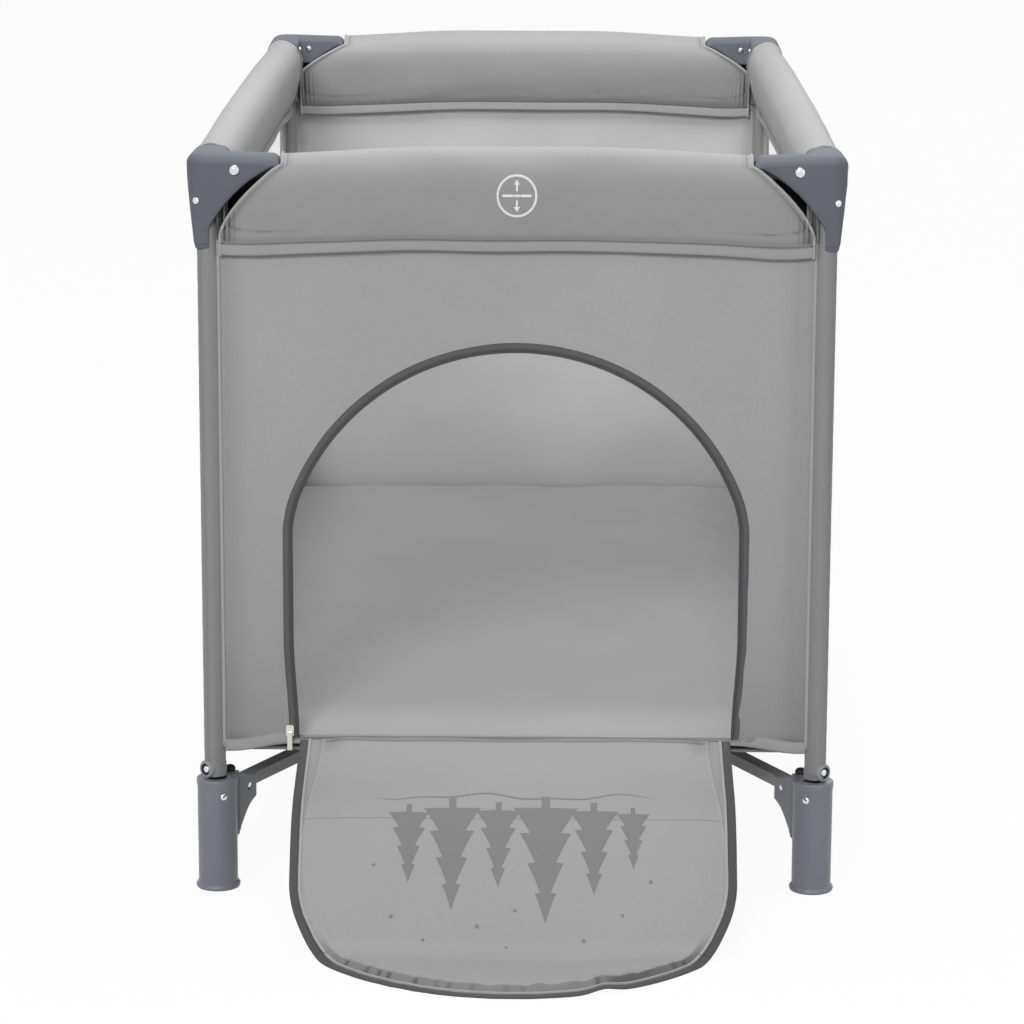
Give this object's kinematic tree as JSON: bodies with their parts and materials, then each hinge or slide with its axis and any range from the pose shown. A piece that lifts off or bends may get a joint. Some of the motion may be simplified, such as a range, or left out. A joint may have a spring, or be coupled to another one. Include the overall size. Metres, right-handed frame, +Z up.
{
  "type": "playpen",
  "caption": "Folding rectangular playpen: padded hinged top rails, cross base, mesh sides, mattress, and an arched zipped door whose flap hangs open to the floor.",
  "frame": {"origin": "on the floor, at the middle of the hub's foot under the floor board, midway between the four legs", "axes": "+Z up, +X to the right of someone facing the door, +Y from the door wall to the back wall, along the pen's length"},
  "size_m": [0.666, 1.5594, 0.771],
  "materials": {
    "leg_sleeve": "woven sleeve on a steel tube",
    "shell_plastic": "fine grained",
    "rivet_metal": "polished",
    "rail_metal": "powder coated",
    "base_metal": "powder coated",
    "latch_plastic": "fine grained",
    "button_plastic": "fine grained",
    "rail_fabric": "padded woven",
    "wall_fabric": "woven",
    "mesh": "open net",
    "mattress_fabric": "quilted woven",
    "zip_tape": "woven tape",
    "zip_metal": "brushed"
  },
  "bodies": {
    "leg_fl": {"leg_tube_fl": "leg_sleeve", "corner_bracket_fl": "shell_plastic", "bracket_rivets_fl": "rivet_metal", "foot_boot_fl": "shell_plastic", "foot_fasteners_fl": "rivet_metal", "wall_front": "wall_fabric", "wall_left": "mesh", "zip_tape": "zip_tape"},
    "leg_fr": {"leg_tube_fr": "leg_sleeve", "corner_bracket_fr": "shell_plastic", "bracket_rivets_fr": "rivet_metal", "foot_boot_fr": "shell_plastic", "foot_fasteners_fr": "rivet_metal", "wall_right": "mesh"},
    "leg_bl": {"leg_tube_bl": "leg_sleeve", "corner_bracket_bl": "shell_plastic", "bracket_rivets_bl": "rivet_metal", "foot_boot_bl": "shell_plastic", "foot_fasteners_bl": "rivet_metal", "wall_back": "wall_fabric"},
    "leg_br": {"leg_tube_br": "leg_sleeve", "corner_bracket_br": "shell_plastic", "bracket_rivets_br": "rivet_metal", "foot_boot_br": "shell_plastic", "foot_fasteners_br": "rivet_metal"},
    "base_fl": {"base_tube_fl": "base_metal"},
    "base_fr": {"base_tube_fr": "base_metal"},
    "base_bl": {"base_tube_bl": "base_metal"},
    "base_br": {"base_tube_br": "base_metal"},
    "hub": {"hub_body": "shell_plastic", "hub_cap": "shell_plastic", "hub_pins": "rivet_metal", "floor_sheet": "wall_fabric", "mattress": "mattress_fabric"},
    "rail_front_l": {"rail_front_l": "rail_metal"},
    "rail_front_r": {"rail_front_r": "rail_metal"},
    "latch_front": {"latch_front": "latch_plastic", "cover_front": "rail_fabric"},
    "button_front": {"button_front": "button_plastic"},
    "rail_back_l": {"rail_back_l": "rail_metal"},
    "rail_back_r": {"rail_back_r": "rail_metal"},
    "latch_back": {"latch_back": "latch_plastic", "cover_back": "rail_fabric"},
    "button_back": {"button_back": "button_plastic"},
    "rail_left_f": {"rail_left_f": "rail_metal"},
    "rail_left_b": {"rail_left_b": "rail_metal"},
    "latch_left": {"latch_left": "latch_plastic", "cover_left": "rail_fabric"},
    "button_left": {"button_left": "button_plastic"},
    "rail_right_f": {"rail_right_f": "rail_metal"},
    "rail_right_b": {"rail_right_b": "rail_metal"},
    "latch_right": {"latch_right": "latch_plastic", "cover_right": "rail_fabric"},
    "button_right": {"button_right": "button_plastic"},
    "flap_upper": {"flap_upper": "wall_fabric"},
    "flap_middle": {"flap_middle": "wall_fabric"},
    "flap_tip": {"flap_tip": "wall_fabric"},
    "zip_slider": {"zip_slider": "zip_metal"},
    "zip_pull": {"zip_pull": "zip_metal"}
  },
  "joints": [
    {"name": "fold", "type": "hinge", "parent": "leg_fl", "child": "base_fl", "pos_m": [-0.2898, -0.56091, 0.1], "axis": [0.8884, -0.459, 0], "range_deg": [0, 83], "deforming": ["wall_front", "wall_left", "wall_right", "wall_back", "zip_tape", "floor_sheet", "mattress", "cover_front", "cover_back", "cover_left", "cover_right", "flap_upper", "flap_middle", "flap_tip"]},
    {"name": "hub_on_base_fl", "type": "hinge", "parent": "base_fl", "child": "hub", "pos_m": [-0.0388, -0.0751, 0.1], "axis": [-0.8884, 0.459, 0], "range_deg": [0, 83]},
    {"name": "base_fr_on_hub", "type": "hinge", "parent": "hub", "child": "base_fr", "pos_m": [0.0388, -0.0751, 0.1], "axis": [0.8884, 0.459, 0], "range_deg": [0, 83]},
    {"name": "leg_fr_on_base", "type": "hinge", "parent": "base_fr", "child": "leg_fr", "pos_m": [0.2898, -0.56091, 0.1], "axis": [-0.8884, -0.459, 0], "range_deg": [0, 83]},
    {"name": "base_bl_on_hub", "type": "hinge", "parent": "hub", "child": "base_bl", "pos_m": [-0.0388, 0.0751, 0.1], "axis": [-0.8884, -0.459, 0], "range_deg": [0, 83]},
    {"name": "leg_bl_on_base", "type": "hinge", "parent": "base_bl", "child": "leg_bl", "pos_m": [-0.2898, 0.56091, 0.1], "axis": [0.8884, 0.459, 0], "range_deg": [0, 83]},
    {"name": "base_br_on_hub", "type": "hinge", "parent": "hub", "child": "base_br", "pos_m": [0.0388, 0.0751, 0.1], "axis": [-0.8884, 0.459, 0], "range_deg": [0, 83]},
    {"name": "leg_br_on_base", "type": "hinge", "parent": "base_br", "child": "leg_br", "pos_m": [0.2898, 0.56091, 0.1], "axis": [0.8884, -0.459, 0], "range_deg": [0, 83]},
    {"name": "rail_front_l_on_leg", "type": "hinge", "parent": "leg_fl", "child": "rail_front_l", "pos_m": [-0.281, -0.6, 0.751], "axis": [0, 1, 0], "range_deg": [0, 83]},
    {"name": "latch_front_on_rail", "type": "hinge", "parent": "rail_front_l", "child": "latch_front", "pos_m": [-0.03, -0.6, 0.751], "axis": [0, -1, 0], "range_deg": [0, 83]},
    {"name": "rail_front_r_on_latch", "type": "hinge", "parent": "latch_front", "child": "rail_front_r", "pos_m": [0.03, -0.6, 0.751], "axis": [0, -1, 0], "range_deg": [0, 83]},
    {"name": "rail_back_l_on_leg", "type": "hinge", "parent": "leg_bl", "child": "rail_back_l", "pos_m": [-0.281, 0.6, 0.751], "axis": [0, 1, 0], "range_deg": [0, 83]},
    {"name": "latch_back_on_rail", "type": "hinge", "parent": "rail_back_l", "child": "latch_back", "pos_m": [-0.03, 0.6, 0.751], "axis": [0, -1, 0], "range_deg": [0, 83]},
    {"name": "rail_back_r_on_latch", "type": "hinge", "parent": "latch_back", "child": "rail_back_r", "pos_m": [0.03, 0.6, 0.751], "axis": [0, -1, 0], "range_deg": [0, 83]},
    {"name": "rail_left_f_on_leg", "type": "hinge", "parent": "leg_fl", "child": "rail_left_f", "pos_m": [-0.31, -0.571, 0.751], "axis": [-1, 0, 0], "range_deg": [0, 83]},
    {"name": "latch_left_on_rail", "type": "hinge", "parent": "rail_left_f", "child": "latch_left", "pos_m": [-0.31, -0.08519, 0.751], "axis": [1, 0, 0], "range_deg": [0, 83]},
    {"name": "rail_left_b_on_latch", "type": "hinge", "parent": "latch_left", "child": "rail_left_b", "pos_m": [-0.31, 0.08519, 0.751], "axis": [1, 0, 0], "range_deg": [0, 83]},
    {"name": "rail_right_f_on_leg", "type": "hinge", "parent": "leg_fr", "child": "rail_right_f", "pos_m": [0.31, -0.571, 0.751], "axis": [-1, 0, 0], "range_deg": [0, 83]},
    {"name": "latch_right_on_rail", "type": "hinge", "parent": "rail_right_f", "child": "latch_right", "pos_m": [0.31, -0.08519, 0.751], "axis": [1, 0, 0], "range_deg": [0, 83]},
    {"name": "rail_right_b_on_latch", "type": "hinge", "parent": "latch_right", "child": "rail_right_b", "pos_m": [0.31, 0.08519, 0.751], "axis": [1, 0, 0], "range_deg": [0, 83]},
    {"name": "button_front_press", "type": "slide", "parent": "latch_front", "child": "button_front", "axis": [0, 1, 0], "range_m": [0, 0.005], "stiffness_N_per_m": 800},
    {"name": "button_back_press", "type": "slide", "parent": "latch_back", "child": "button_back", "axis": [0, -1, 0], "range_m": [0, 0.005], "stiffness_N_per_m": 800},
    {"name": "button_left_press", "type": "slide", "parent": "latch_left", "child": "button_left", "axis": [1, 0, 0], "range_m": [0, 0.005], "stiffness_N_per_m": 800},
    {"name": "button_right_press", "type": "slide", "parent": "latch_right", "child": "button_right", "axis": [-1, 0, 0], "range_m": [0, 0.005], "stiffness_N_per_m": 800},
    {"name": "door_flap", "type": "hinge", "parent": "leg_fl", "child": "flap_upper", "pos_m": [0, -0.6068, 0.159], "axis": [-1, 0, 0], "range_deg": [0, 104]},
    {"name": "flap_upper_bend", "type": "hinge", "parent": "flap_upper", "child": "flap_middle", "pos_m": [0, -0.75234, 0.12271], "axis": [-1, 0, 0], "range_deg": [0, 45]},
    {"name": "flap_lower_bend", "type": "hinge", "parent": "flap_middle", "child": "flap_tip", "pos_m": [0, -0.825, 0.0018], "axis": [1, 0, 0], "range_deg": [0, 59]},
    {"name": "door_zip", "type": "slide", "parent": "leg_fl", "child": "zip_slider", "axis": [0, 0, 1], "range_m": [0, 0.199]},
    {"name": "zip_pull_swing", "type": "hinge", "parent": "zip_slider", "child": "zip_pull", "pos_m": [-0.23175, -0.6111, 0.169], "axis": [-1, 0, 0], "range_deg": [0, 150]}
  ],
  "couplings": [
    {"joint": "hub_on_base_fl", "follows": "fold", "ratio": 1},
    {"joint": "base_fr_on_hub", "follows": "fold", "ratio": 1},
    {"joint": "leg_fr_on_base", "follows": "fold", "ratio": 1},
    {"joint": "base_bl_on_hub", "follows": "fold", "ratio": 1},
    {"joint": "leg_bl_on_base", "follows": "fold", "ratio": 1},
    {"joint": "base_br_on_hub", "follows": "fold", "ratio": 1},
    {"joint": "leg_br_on_base", "follows": "fold", "ratio": 1},
    {"joint": "rail_front_l_on_leg", "follows": "fold", "ratio": 1},
    {"joint": "latch_front_on_rail", "follows": "fold", "ratio": 1},
    {"joint": "rail_front_r_on_latch", "follows": "fold", "ratio": 1},
    {"joint": "rail_back_l_on_leg", "follows": "fold", "ratio": 1},
    {"joint": "latch_back_on_rail", "follows": "fold", "ratio": 1},
    {"joint": "rail_back_r_on_latch", "follows": "fold", "ratio": 1},
    {"joint": "rail_left_f_on_leg", "follows": "fold", "ratio": 1},
    {"joint": "latch_left_on_rail", "follows": "fold", "ratio": 1},
    {"joint": "rail_left_b_on_latch", "follows": "fold", "ratio": 1},
    {"joint": "rail_right_f_on_leg", "follows": "fold", "ratio": 1},
    {"joint": "latch_right_on_rail", "follows": "fold", "ratio": 1},
    {"joint": "rail_right_b_on_latch", "follows": "fold", "ratio": 1},
    {"joint": "flap_upper_bend", "follows": "door_flap", "ratio": 0.43269},
    {"joint": "flap_lower_bend", "follows": "door_flap", "ratio": 0.56731}
  ]
}
